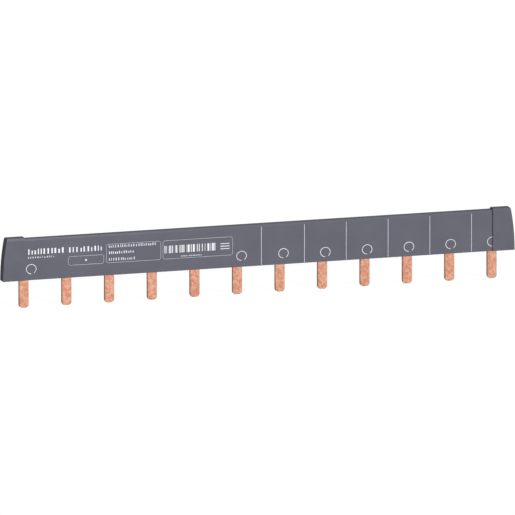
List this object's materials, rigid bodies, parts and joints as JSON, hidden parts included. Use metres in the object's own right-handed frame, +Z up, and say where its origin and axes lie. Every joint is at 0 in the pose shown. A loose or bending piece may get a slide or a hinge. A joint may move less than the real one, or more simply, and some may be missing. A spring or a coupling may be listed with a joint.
{
  "type": "comb busbar",
  "caption": "Straight insulated comb busbar with flat copper teeth on one edge and a cap on each end, for feeding a row of modular circuit breakers.",
  "frame": {"origin": "under the middle of the bar, level with the tips of the teeth", "axes": "+X along the bar to the right as seen from the printed front, +Y from the printed front to the back, +Z up from the teeth to the roof of the housing"},
  "size_m": [0.2164, 0.0044, 0.029],
  "materials": {
    "housing_plastic": "extruded slate-grey plastic, satin",
    "cap_plastic": "moulded slate-grey plastic, satin",
    "copper": "bare rolled copper, dull, finely mottled",
    "print_ink": "thin pale printing ink on the housing's front"
  },
  "bodies": {
    "root": {"insulating_housing": "housing_plastic", "left_end_cap": "cap_plastic", "right_end_cap": "cap_plastic", "copper_comb": "copper"}
  },
  "joints": []
}
